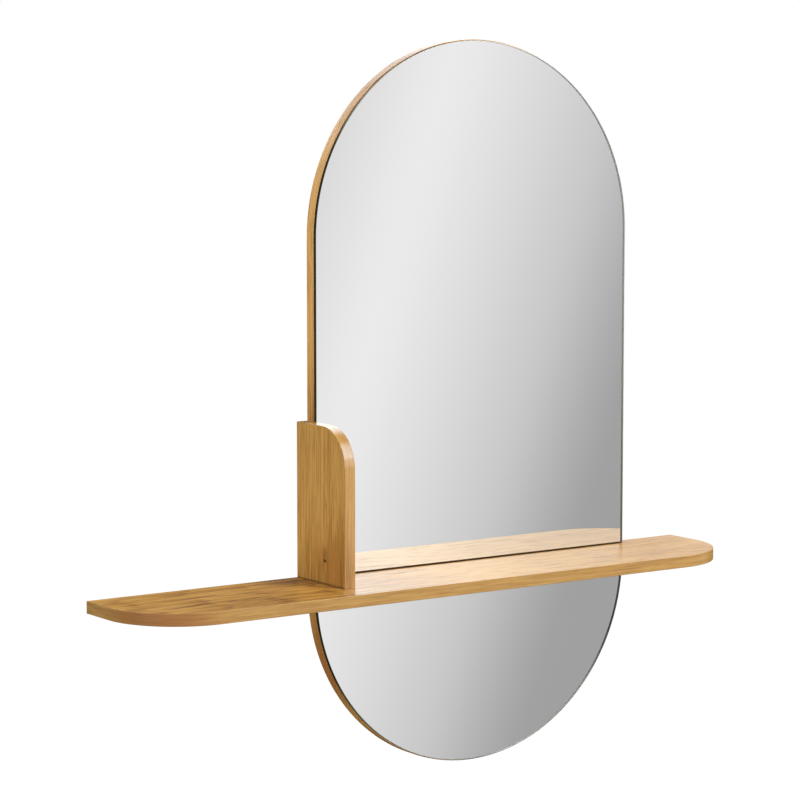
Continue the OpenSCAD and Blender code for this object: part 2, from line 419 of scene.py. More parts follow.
def oak_pattern(f, along, across, depth, figure):
    """Returns how dark the wood is with its painted shade, how fibrous, how porous, how red, and how dark
    its knots are.
    """
    def grain(layer, wide=1.0):
        across_scale = layer.across / wide
        level = depth * across_scale + (figure.seed + layer.step) * LAYER_GAP
        place = f.vector(along * (layer.along / math.sqrt(wide)), across * across_scale, level)
        return f.noise(place, detail=layer.detail)

    def swing(layer, wide=1.0):
        return (grain(layer, wide) - 0.5) * layer.depth

    def marked(fibre):
        return f.between(fibre, 0.40, 0.60) - 0.5

    wide = figure.coarse
    side = across - figure.heart + swing(DRIFT)
    height = (along - figure.flat_at) * figure.tilt + depth
    phase = (side * side * figure.flame ** 2 + height * height).math("SQRT") / figure.spacing
    knot = 0.0
    for knot_along, knot_across, radius in figure.knots:
        bend = (knot_along, knot_across, radius * 9, radius * 3, 1.4)
        core = (knot_along, knot_across, radius, radius * 1.6, 2.4)
        halo = (knot_along + radius * 3, knot_across, radius * 5, radius * 2.4, 0.5)
        phase = phase + oval(f, along, across, bend)
        knot = knot + oval(f, along, across, core) + oval(f, along, across, halo)
    phase = phase + swing(WAVER, wide)
    ring = f.ramp(phase.math("FRACT"), RING_PROFILE)
    if figure.crisp != 1:
        ring = ring.math("POWER", figure.crisp)
    ring = ring * f.between(grain(BREAKS, wide), 0.36, 0.62)
    plain = 1.0
    if figure.fade:
        plain = f.between(along, *reversed(figure.fade)) * (1 - FADED) + FADED
        ring = ring * plain
    fibre = grain(FIBRE, wide)
    marks = marked(fibre) * figure.fibres + swing(STREAK, wide)
    pore = f.between(grain(PORE, wide) + ring * 0.08, 0.60, 0.72)
    dark = ring * figure.contrast + marks * plain + swing(CLOUD) + figure.ground
    if wide > 2:
        dark = dark + marked(grain(FINEST)) * FINEST.depth
    # darker marks, many of them painted shade, and paler ones, some of them painted highlights
    for dark_mark in figure.stains_and_shade:
        dark = dark + oval(f, along, across, dark_mark)
    for stroke in figure.strokes:
        dark = dark + oval(f, along, across, stroke, figure.lean)
    red = 0.0
    for redder_mark in figure.blushes_and_warm_shade:
        red = red + oval(f, along, across, redder_mark)
    return dark, fibre, pore, red, knot


def oak(
    name, figure, order=None, brightness=1.0, bleach=0.0, gloss=0.0, index=1.5,
    core_axis=None, painted_front_and_gap_shade=False,
):
    """Satin lacquered oak veneer.

    order says which of x, y and z run along the grain, across it and into the board. Without it the
    grain follows an edge band's own map.
    core_axis is the axis that a board's veneered faces look along: its other faces are raw core.
    With a painted front, the face that looks to -y gets a dark paint, which is what glass is laid on;
    beside the glass it also serves as painted shade of the narrow gap.
    """
    f = Finish(name, IOR=index)
    tones = colours()
    parts = dict(zip("xyz", f.split(f.place() if order else f.unrolled())))
    along, across, depth = (parts[axis] for axis in order or "xyz")
    dark, fibre, pore, red, knot = oak_pattern(f, along, across, depth, figure)
    pale, deep = (
        tuple((channel + bleach * (1 - channel)) * brightness for channel in tone)
        for tone in (tones.oak_pale, tones.oak_ring)
    )
    colour = f.mix(f.between(dark, 0.0, 1.0, soft="LINEAR"), pale, deep)
    colour = f.mix(f.between(dark, 1.0, 2.0, soft="LINEAR"), colour, tones.oak_pore)
    colour = f.mix(pore * 0.35, colour, tones.oak_pore)
    if figure.blushes_and_warm_shade:
        colour = f.mix(red, colour, tones.oak_blush_and_warm_shade)
    if figure.knots:
        colour = f.mix(f.between(knot, 0.0, 1.0, soft="LINEAR"), colour, tones.oak_knot)
    roughness = fibre * 0.05 + pore * 0.15 + (LACQUER_ROUGHNESS - gloss)
    relief = fibre * 0.25 - pore
    # dark paint on the front, which also paints the shade of the gap beside the glass
    if painted_front_and_gap_shade:
        facing_y = f.split(f.facing())[1]
        colour = f.mix(f.between(facing_y, -0.6, -0.8), colour, tones.board_paint_and_gap_shade)
    if core_axis:
        facing = dict(zip("xyz", f.split(f.facing())))[core_axis]
        veneered = f.between(facing.math("ABSOLUTE"), 0.4, 0.6)
        grit = f.noise(f.place(), detail=4.0, roughness=0.7, scale=900.0)
        core = f.mix(grit, tones.board_core, shade(tones.board_core, 0.6))
        colour = f.mix(veneered, core, colour)
        roughness = veneered * (roughness - CORE_ROUGHNESS) + CORE_ROUGHNESS
        relief = veneered * relief + (1 - veneered) * grit
    return f.feed(
        Base_Color=colour,
        Roughness=roughness,
        Normal=f.bumped(relief, 0.03 * MM, 0.4),
    )


# ---------------- other finishes

def silver_finish():
    """The silvered back of the glass, as it shows through the front."""
    f = Finish("mirror_silver", Metallic=1.0)
    cloud = f.noise(f.place(), detail=2.0, scale=3.0)
    haze = f.noise(f.place(), detail=3.0, scale=22.0)
    return f.feed(
        Base_Color=f.mix(cloud, colours().silver, shade(colours().silver, 0.985)),
        Roughness=f.between(haze, 0.62, 0.95) * 0.02,
    )


def glass_edge_finish():
    """Ground edge of the pane: dark green, with painted highlights where light would shine into it, and
    painted brown shade at the shelf.

    The painted highlights lie between places along x and z, and each is followed by how pale it makes the
    edge.
    """
    f = Finish("glass_ground_edge", IOR=1.2)
    x, _, z = f.split(f.place())
    grind = f.streaks("y", 4000.0, 900.0, detail=2.0)
    # painted highlights along the top, the right side and the foot of the edge
    top = f.between(z, 0.38, 0.54) * 0.78
    right = f.between(x, 0.15, 0.27) * f.between(z, -0.60, 0.30) * 0.52
    below = f.between(x.math("ABSOLUTE"), 0.0, 0.10) * 0.7 + 0.3
    foot = f.between(z, -0.37, -0.48) * f.between(x, -0.30, -0.14) * below * 0.5
    painted_glint = (top + right + foot) * (grind * 0.3 + 0.85)
    sill = BOX["upper_mirror_glass"][0].z
    # painted shade, brown, along the edge where it meets the shelf
    seam = f.between(z, sill + 1.6 * MM, sill + 1.2 * MM)
    seam = seam * f.between(z, sill - 1 * MM, sill - 0.5 * MM)
    colour = f.mix(painted_glint, colours().glass_edge, colours().glass_painted_glint)
    return f.feed(
        Base_Color=f.mix(seam, colour, colours().glass_seam_shade),
        Roughness=grind * 0.2 + 0.30 + seam * 0.5,
        Normal=f.bumped(grind, 0.02 * MM, 0.3),
    )


def backing_paint_finish():
    """Grey paint over the silver, seen only behind a loose pane."""
    f = Finish("mirror_backing_paint")
    peel = f.noise(f.place(), detail=3.0, scale=420.0)
    return f.feed(
        Base_Color=f.mix(peel, colours().backing_paint, shade(colours().backing_paint, 1.25)),
        Roughness=peel * 0.15 + 0.45,
        Normal=f.bumped(peel, 0.05 * MM, 0.4),
    )


def tape_finish():
    """Black closed-cell foam tape."""
    f = Finish("foam_tape_black")
    cells = f.node("TexVoronoi", {"Vector": f.place(), "Scale": 2600.0})
    return f.feed(
        Base_Color=f.mix(cells, colours().tape, shade(colours().tape, 2.4)),
        Roughness=cells * 0.15 + 0.8,
        Normal=f.bumped(cells, 0.1 * MM, 0.6),
    )


def zinc_finish(name, rolled_axis):
    """Zinc plated steel with rolling marks and a cloudy passivated layer."""
    f = Finish(name)
    marks = f.streaks(rolled_axis, 90.0, 2600.0)
    cloud = f.noise(f.place(), detail=3.0, scale=160.0, roughness=0.6)
    dull = tuple(channel * tint for channel, tint in zip(colours().zinc, (0.80, 0.78, 0.72)))
    return f.feed(
        Base_Color=f.mix(f.between(cloud, 0.35, 0.7), colours().zinc, dull),
        Metallic=0.75 - cloud * 0.4,
        Roughness=marks * 0.18 + cloud * 0.15 + 0.18,
        Normal=f.bumped(marks, 0.02 * MM, 0.35),
    )


def beech_finish(grain_axis):
    """Raw beech with its short dark flecks."""
    f = Finish(f"beech_dowel_{grain_axis}")
    fibre = f.streaks(grain_axis, 60.0, 1500.0)
    fleck = f.between(f.noise(f.place(), detail=1.0, scale=700.0), 0.64, 0.72)
    colour = f.mix(fibre, colours().beech, shade(colours().beech, 0.72))
    return f.feed(
        Base_Color=f.mix(fleck * 0.5, colour, shade(colours().beech, 0.4)),
        Roughness=fibre * 0.2 + 0.55,
        Normal=f.bumped(fibre, 0.05 * MM, 0.5),
    )


# ---------------- modelling

def close_mesh():
    """Nothing stays open or selected."""
    if bpy.context.object and bpy.context.object.mode != "OBJECT":
        bpy.ops.object.mode_set(mode="OBJECT")
    bpy.ops.object.select_all(action="DESELECT")


def single_out(piece):
    close_mesh()
    piece.select_set(True)
    bpy.context.view_layer.objects.active = piece


def open_mesh(piece):
    """The object's place goes into its mesh, and the mesh is opened."""
    single_out(piece)
    bpy.ops.object.transform_apply()
    bpy.ops.object.mode_set(mode="EDIT")


def pick(kind, test):
    """Selects only those verts, edges or faces of the open mesh that pass a test."""
    mesh = bpy.context.object.data
    bpy.ops.mesh.select_mode(type={"verts": "VERT", "edges": "EDGE", "faces": "FACE"}[kind])
    bpy.ops.mesh.select_all(action="DESELECT")
    shape = bmesh.from_edit_mesh(mesh)
    shape.faces.ensure_lookup_table()
    found = [part for part in getattr(shape, kind) if test(part)]
    for part in found:
        part.select_set(True)
    shape.select_flush_mode()
    bmesh.update_edit_mesh(mesh)
    if not found:
        raise RuntimeError(f"nothing to select among the {kind} of {bpy.context.object.name}")


def draw_out(way):
    """Extrudes what is picked by a vector."""
    bpy.ops.mesh.extrude_region_move(TRANSFORM_OT_translate={"value": way})


def turn_outward():
    """All the open mesh's faces look outward."""
    bpy.ops.mesh.select_all(action="SELECT")
    bpy.ops.mesh.normals_make_consistent(inside=False)


def even_shading(piece):
    """Smooth across small angles, with broad faces flat."""
    single_out(piece)
    bpy.ops.object.shade_smooth_by_angle(angle=math.radians(40))
    weighting = piece.modifiers.new("even_shading", "WEIGHTED_NORMAL")
    weighting.keep_sharp = True
    weighting.weight = 100
    bpy.ops.object.modifier_apply(modifier=weighting.name)


@dataclass
class Leg:
    """One stretch of a band's route: straight, or a turn round a centre."""

    start: Vector
    heading: Vector
    length: float
    done: float  # length of the legs before this one
    axis: Vector
    centre: Vector = None
    angle: float = 0.0

    def miss_and_way(self, point):
        """How far a point is from this leg, and how far along the route it lies."""
        if self.centre is None:
            way = (point - self.start).dot(self.heading)
            near = self.start + self.heading * min(max(way, 0.0), self.length)
            flat = point - near
            flat -= self.axis * flat.dot(self.axis)
            return flat.length, self.done + way
        arm = self.start - self.centre
        spoke = point - self.centre
        spoke -= self.axis * spoke.dot(self.axis)
        turned = math.atan2(arm.cross(spoke).dot(self.axis), arm.dot(spoke))
        turned *= math.copysign(1.0, self.angle)
        share = min(max(turned / abs(self.angle), 0.0), 1.0)
        near = Matrix.Rotation(self.angle * share, 3, self.axis) @ arm
        return (spoke - near).length, self.done + self.length * turned / abs(self.angle)


class Route:
    """The line that a band's middle follows, in one plane across an axis."""

    def __init__(self, start, heading, axis):
        self.place = Vector(start)
        self.heading = Vector(heading)
        self.axis = Vector(axis)
        self.legs = []

    def done(self):
        return sum(leg.length for leg in self.legs)

    def straight(self, length):
        self.legs.append(Leg(self.place, self.heading, length, self.done(), self.axis))
        self.place = self.place + self.heading * length
        return self

    def turn(self, angle, radius):
        """Turns by a right-hand angle about the axis."""
        side = self.axis.cross(self.heading) * math.copysign(1.0, angle)
        centre = self.place + side * radius
        length = abs(angle) * radius
        self.legs.append(
            Leg(self.place, self.heading, length, self.done(), self.axis, centre, angle)
        )
        turned = Matrix.Rotation(angle, 3, self.axis)
        self.place = centre + turned @ (self.place - centre)
        self.heading = turned @ self.heading
        return self

    def way(self, point):
        return min((leg.miss_and_way(point) for leg in self.legs), key=lambda found: found[0])[1]


def band(board, node, route, outward, size, veneer, closed=False):
    """A board's edge band: its eased cross-section is drawn once and swept along the route."""
    close_mesh()
    first = route.legs[0]
    out = Vector(outward)
    turn = Matrix((out, first.axis, first.heading)).transposed()
    bpy.ops.mesh.primitive_plane_add(size=1.0, location=first.start, rotation=turn.to_euler())
    piece = bpy.context.object
    piece.name = f"{board}_oak_band"
    piece.scale = (*size, 1.0)
    open_mesh(piece)
    pick("verts", lambda vert: (vert.co - first.start).dot(out) > 0)
    bpy.ops.mesh.bevel(offset=sizes().arris, segments=4, affect="VERTICES")
    pick("faces", lambda face: True)
    for leg in route.legs:
        if leg.centre is None:
            draw_out(leg.heading * leg.length)
        else:
            steps = max(6, round(sizes().round_steps * abs(leg.angle) / math.pi))
            bpy.ops.mesh.spin(steps=steps, angle=-leg.angle, center=leg.centre, axis=leg.axis)
    bpy.ops.mesh.select_all(action="SELECT")
    bpy.ops.mesh.remove_doubles(threshold=TOUCHING)
    if closed:
        def is_seam(face):
            level = (face.calc_center_median() - first.start).dot(first.heading)
            return abs(level) < TOUCHING and abs(face.normal.dot(first.heading)) > 0.9

        pick("faces", is_seam)
        bpy.ops.mesh.delete(type="FACE")
    turn_outward()
    close_mesh()
    unroll(piece, route, closed)
    even_shading(piece)
    piece.data.materials.append(veneer)
    settle(piece, node)


def unroll(piece, route, closed):
    """Writes each corner's metres along and across the band into the band's own map."""
    mesh = piece.data
    while mesh.uv_layers:
        mesh.uv_layers.remove(mesh.uv_layers[0])
    layer = mesh.uv_layers.new(name=BAND_MAP)
    whole = route.done()
    for face in mesh.polygons:
        ways = [route.way(mesh.vertices[index].co) for index in face.vertices]
        if closed and max(ways) - min(ways) > whole / 2:
            ways = [way + whole if way < whole / 2 else way for way in ways]
        for corner, index, way in zip(face.loop_indices, face.vertices, ways):
            layer.data[corner].uv = (way, mesh.vertices[index].co.dot(route.axis))


def settle(piece, node):
    """A finished piece, which has to be one closed shell, rides on the frame for its node."""
    shape = bmesh.new()
    shape.from_mesh(piece.data)
    open_edges = sum(not edge.is_manifold for edge in shape.edges)
    volume = shape.calc_volume(signed=True)
    shape.free()
    if open_edges or volume <= 0:
        raise RuntimeError(f"{piece.name} has {open_edges} open edges and a volume of {volume}")
    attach(piece, "root")
    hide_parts(node)


def dress(node, material):
    """A node that keeps its own shape gets a finish."""
    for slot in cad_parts[node].material_slots:
        slot.material = material


# ---------------- pieces

class BoardBand(bpy.types.Operator):
    """Oak band round the backing board's whole edge"""

    bl_idname = "shelf_mirror.board_band"
    bl_label = "Backing board band"

    def execute(self, context):
        low, high = BOX["backing_board_edge_band"]
        thickness = BOX["backing_board"][0].x - low.x
        radius = (high.x - low.x - thickness) / 2
        straight = high.z - low.z - thickness - 2 * radius
        middle = (low.y + high.y) / 2
        route = Route((-radius, middle, straight / 2), UP, BACK)
        route.turn(math.pi, radius).straight(straight).turn(math.pi, radius).straight(straight)
        left_side = 2 * math.pi * radius + straight
        by_upright = left_side + straight / 2 - 0.02
        lower_left = left_side - math.radians(22) * radius
        round_top = math.radians(62) * radius
        stains_and_shade = (
            # painted shade of the upright on the band beside it
            (by_upright, middle, 0.13, 1.0, 0.8),
            # painted shade, darker and redder, on the lower left turn
            (lower_left, middle, 0.12, 1.0, 1.3),
            # painted shade on the round top, under the rim lamp's highlight
            (round_top, middle, 0.75 * radius, 1.0, 1.2),
        )
        # painted warm shade on the lower left turn
        blushes_and_warm_shade = ((lower_left, middle, 0.12, 1.0, 0.7),)
        figure = Figure(
            heart=0.12, spacing=2.6 * MM, contrast=0.35, coarse=1.6, seed=2.1,
            stains_and_shade=stains_and_shade, blushes_and_warm_shade=blushes_and_warm_shade,
        )
        veneer = oak("oak_band_board", figure, brightness=1.3, bleach=0.02)
        size = (thickness, high.y - low.y)
        band("board", "backing_board_edge_band", route, -RIGHT, size, veneer, closed=True)
        return {"FINISHED"}


class ShelfBand(bpy.types.Operator):
    """Oak band along the shelf's left end, front and right end"""

    bl_idname = "shelf_mirror.shelf_band"
    bl_label = "Shelf band"

    def execute(self, context):
        low, high = BOX["shelf_edge_band"]
        thickness = BOX["shelf_board"][0].x - low.x
        radius = sizes().shelf_corner - thickness / 2
        depth = high.y - low.y - thickness / 2 - radius
        length = high.x - low.x - thickness - 2 * radius
        middle = (low.z + high.z) / 2
        route = Route((low.x + thickness / 2, high.y, middle), -BACK, UP)
        route.straight(depth).turn(math.pi / 2, radius).straight(length)
        route.turn(math.pi / 2, radius).straight(depth)
        left_turn = depth + radius * math.pi / 4
        right_turn = left_turn + length + math.pi / 2 * radius
        figure = Figure(
            heart=-0.35, spacing=2.4 * MM, contrast=0.35, coarse=1.6, seed=5.3,
            stains_and_shade=(
                (left_turn, middle, radius, 1.0, 1.3),
                # paler: a painted highlight on the right corner
                (right_turn + 0.02, middle, 0.06, 1.0, -0.7),
            ),
            blushes_and_warm_shade=((left_turn, middle, radius, 1.0, 0.5),),
        )
        veneer = oak("oak_band_shelf", figure, brightness=0.82, bleach=0.025)
        band("shelf", "shelf_edge_band", route, -RIGHT, (thickness, high.z - low.z), veneer)
        return {"FINISHED"}


class UprightBand(bpy.types.Operator):
    """Oak band up the upright's front and over its top"""

    bl_idname = "shelf_mirror.upright_band"
    bl_label = "Upright band"

    def execute(self, context):
        low, high = BOX["upright_edge_band"]
        thickness = BOX["upright_panel"][0].y - low.y
        radius = sizes().upright_corner - thickness / 2
        height = high.z - low.z - thickness / 2 - radius
        depth = high.y - low.y - thickness / 2 - radius
        middle = (low.x + high.x) / 2
        route = Route((middle, low.y + thickness / 2, low.z), UP, RIGHT)
        route.straight(height).turn(-math.pi / 2, radius).straight(depth)
        on_turn = height + math.radians(22) * radius
        figure = Figure(
            heart=-0.5, spacing=2.2 * MM, contrast=0.3, coarse=1.6, seed=8.9,
            # painted shade at the foot of the front, and on the round under its highlights
            stains_and_shade=((0, middle, 0.12, 1.0, 0.5), (on_turn, middle, 0.5 * radius, 1.0, 0.6)),
        )
        veneer = oak(
            "oak_band_upright", figure, brightness=0.91, bleach=0.01, gloss=0.08, index=1.8
        )
        band("upright", "upright_edge_band", route, -BACK, (thickness, high.x - low.x), veneer)
        return {"FINISHED"}


class MirrorPanes(bpy.types.Operator):
    """The two silvered panes, one above the shelf and one below it"""

    bl_idname = "shelf_mirror.mirror_panes"
    bl_label = "Mirror panes"

    def execute(self, context):
        finishes = (silver_finish(), glass_edge_finish(), backing_paint_finish())
        self.pane("upper_mirror_pane", "upper_mirror_glass", 1, finishes)
        self.pane("lower_mirror_pane", "lower_mirror_glass", -1, finishes)
        return {"FINISHED"}

    def pane(self, name, node, round_side, finishes):
        """A pane with a round end on one side and a straight cut on the other."""
        low, high = BOX[node]
        radius = (high.x - low.x) / 2
        round_end, cut = (high.z, low.z) if round_side > 0 else (low.z, high.z)
        centre = Vector((0, low.y, round_end - round_side * radius))
        close_mesh()
        bpy.ops.mesh.primitive_circle_add(
            vertices=2 * sizes().round_steps,
            radius=radius,
            fill_type="NGON",
            location=centre,
            rotation=(math.pi / 2, 0, 0),
        )
        piece = bpy.context.object
        piece.name = name
        open_mesh(piece)
        bpy.ops.mesh.select_all(action="SELECT")
        bpy.ops.mesh.bisect(plane_co=centre, plane_no=UP * round_side, clear_inner=True)
        pick("edges", lambda edge: all(abs(v.co.z - centre.z) < TOUCHING for v in edge.verts))
        draw_out(UP * (cut - centre.z))
        pick("faces", lambda face: True)
        bpy.ops.mesh.dissolve_faces()
        pick("faces", lambda face: True)
        draw_out(BACK * (high.y - low.y))
        turn_outward()

        def at_front(part):
            return all(abs(vert.co.y - low.y) < TOUCHING for vert in part.verts)

        pick("edges", at_front)
        bpy.ops.mesh.bevel(offset=sizes().glass_arris, segments=2, affect="EDGES")
        pick("faces", at_front)
        bpy.ops.mesh.inset(thickness=sizes().glass_rim - sizes().glass_arris, depth=0)
        draw_out(BACK * sizes().silver_depth)
        close_mesh()
        for finish in finishes:
            piece.data.materials.append(finish)
        silver_level = low.y + sizes().silver_depth
        for face in piece.data.polygons:
            is_silver = face.normal.y < -0.9 and abs(face.center.y - silver_level) < TOUCHING
            face.material_index = 0 if is_silver else 2 if face.normal.y > 0.9 else 1
        even_shading(piece)
        settle(piece, node)


class Veneers(bpy.types.Operator):
    """Oak veneer on the three boards, and the oak plugs under the shelf"""

    bl_idname = "shelf_mirror.veneers"
    bl_label = "Board veneers"

    def execute(self, context):
        dress("shelf_board", oak(
            "oak_veneer_shelf", self.shelf_figure(), "xyz", brightness=1.28, core_axis="z"
        ))
        dress("upright_panel", oak(
            "oak_veneer_upright", self.upright_figure(), "zyx", core_axis="x"
        ))
        board = Figure(heart=0.05, flat_at=0.7, tilt=0.05, spacing=4 * MM, contrast=0.6, seed=6.6)
        dress("backing_board", oak(
            "oak_veneer_board", board, "zxy", core_axis="y", painted_front_and_gap_shade=True
        ))
        plug = Figure(heart=0.2, spacing=2 * MM, contrast=0.4, seed=9.2)
        dress("upright_screw_caps", oak("oak_plug", plug, "xyz"))
        return {"FINISHED"}

    def shelf_figure(self):
        """A flame whose tips point to the left end, with the dark strokes of its early wood."""
        right_end = BOX["shelf_board"][1].x
        glass_line = BOX["upper_mirror_glass"][0].y
        upright = BOX["upright_panel"][0].x
        stains_and_shade = (
            (-0.48, -0.09, 0.34, 0.9, 0.70),  # painted shade on the left wing
            (-0.25, -0.09, 0.20, 0.9, 0.80),  # shade of the upright
            (right_end, -0.09, 0.50, 0.9, 0.36),  # painted shade on the right end
            (0.13, -0.09, 0.34, 0.9, 0.18),  # painted shade before the glass
            (0, glass_line + 1 * MM, 0.40, 5 * MM, 6.0),  # painted contact shadow along the glass
            (upright, -0.07, 5 * MM, 0.09, 1.6),  # painted contact shadow along the upright
        )
        in_millimetres = (
            (-575, -121, 60, 4, 0.9),
            (-548, -119, 24, 5, 0.8),
            (-520, -67, 90, 4, 0.8),
            (-442, -73, 60, 4, 0.8),
            (-491, -116, 14, 4, 1.0),
            (-458, -115, 30, 4, 1.0),
            (-392, -120, 30, 4, 0.9),
            (-501, -166, 20, 4, 0.7),
            (-432, -163, 24, 4, 0.7),
        )
        strokes = [(*(part * MM for part in mark), strength) for *mark, strength in in_millimetres]
        return Figure(
            heart=-0.118, flat_at=-0.24, tilt=0.07, spacing=7 * MM, contrast=0.75, flame=0.25,
            ground=0.10, crisp=2.5, coarse=4.0, fibres=0.8, fade=(-0.32, -0.2), seed=1.7,
            stains_and_shade=stains_and_shade, strokes=strokes, lean=0.2,
        )

    def upright_figure(self):
        """Straight grain with one pin knot low down."""
        foot = BOX["upright_panel"][0].z
        stains_and_shade = (
            (-0.04, -0.068, 0.16, 5 * MM, -1.1),  # pale streak down the middle
            (foot, -0.14, 0.15, 0.10, 0.7),  # painted shade darkening the foot, most of all in front
            (foot, -0.05, 0.10, 0.12, 0.6),
            (-0.123, -0.077, 9 * MM, 5 * MM, 0.5),  # shadow of a second knot
            (foot, -0.07, 3 * MM, 1.0, 1.6),  # painted contact shadow along the shelf
        )
        # the second redder mark is painted warm shade at the front of the foot
        blushes_and_warm_shade = ((-0.11, -0.009, 0.10, 6 * MM, 0.6), (-0.22, -0.10, 0.05, 0.02, 0.4))
        return Figure(
            heart=-0.4, spacing=3.4 * MM, contrast=0.4, ground=0.30, coarse=1.3, fibres=0.6, seed=4.4,
            knots=((-0.205, -0.074, 3.2 * MM),), stains_and_shade=stains_and_shade, blushes_and_warm_shade=blushes_and_warm_shade,
        )


class Hardware(bpy.types.Operator):
    """Tapes, dowels, screws and keyhole plates"""

    bl_idname = "shelf_mirror.hardware"
    bl_label = "Hardware"

    def execute(self, context):
        by_ending = {
            ("_tape",): tape_finish(),
            ("_screws",): zinc_finish("zinc_screw", "y"),
            ("_plate_left", "_plate_right"): zinc_finish("zinc_plate", "z"),
            ("shelf_dowels",): beech_finish("y"),
            ("upright_dowels",): beech_finish("z"),
            ("side_dowels",): beech_finish("x"),
        }
        for endings, finish in by_ending.items():
            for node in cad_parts:
                if node.endswith(endings):
                    dress(node, finish)
        return {"FINISHED"}


# ---------------- studio

FLOOR_PAINT = (0.30, 0.30, 0.29, 1)  # what lights the object from below
FLOOR_SHADOW = (0.12, 0.12, 0.12, 1)  # how much a shadow can take from the floor's white
FLOOR_WHITE = 0.93
RIM_AIM = (0.17, -0.02)  # right of and above the board's upper left corner

# The surroundings' diffuse light: a level from everywhere, and a ring round the horizon.
EVEN_LEVEL = 0.4
RING_LEVEL = 0.8
RING_LEFTWARD, RING_FORWARD = 1.15, 0.1  # how much brighter it is to the left and in front
RING_HEIGHT = (0.75, 0.15)  # sines of the heights where it is 0 and 1

# The surroundings as only gloss and mirrors see them. Angles are in degrees: azimuths to the right
# of straight in front, heights above the horizon, and each window's edges from 0 to 1.
VIEW_AZIMUTH, VIEW_HEIGHT = 34.64, -6.24  # where the mirror sends the camera's view
STRIPE_LEAN = 0.29  # to the left, for each degree of height
STRIPE_SHIFT = 0.94
STRIPE_HALF = 9.0  # from its bright middle to its dark edge
STRIPE_LEVEL = 1.062
STRIPE_PROFILE = [
    (0.0, 0.972), (0.10, 0.917), (0.25, 0.774), (0.36, 0.685),
    (0.44, 0.597), (0.55, 0.420), (0.62, 0.409), (1.0, 0.409),
]
ABOVE = (2, 6)  # height past which there are no stripes
GLOW_LEVEL = 3.1
GLOW_FALL = (32.4, 38.2)  # azimuths between which it grows dimmer
GLOW_DIMMER = 2.1
GLOW_AZIMUTH = ((-30, -5), (80, 60))
GLOW_HEIGHT = ((40, 24),)
ELSEWHERE = (2, -12)
ELSEWHERE_LEVEL = 0.5
PANEL_LEVEL = 4.0
PANEL_AZIMUTH = ((20, 28), (84, 62))
PANEL_HEIGHT = ((18, 26), (57, 47))
PANEL_TINT = (0.8, 1.0, 1.15)
REAR_LEVEL = 1.1
REAR_AZIMUTH = ((36, 38.5), (75, 55))  # to the right of straight behind
REAR_HEIGHT = ((-2, 4),)


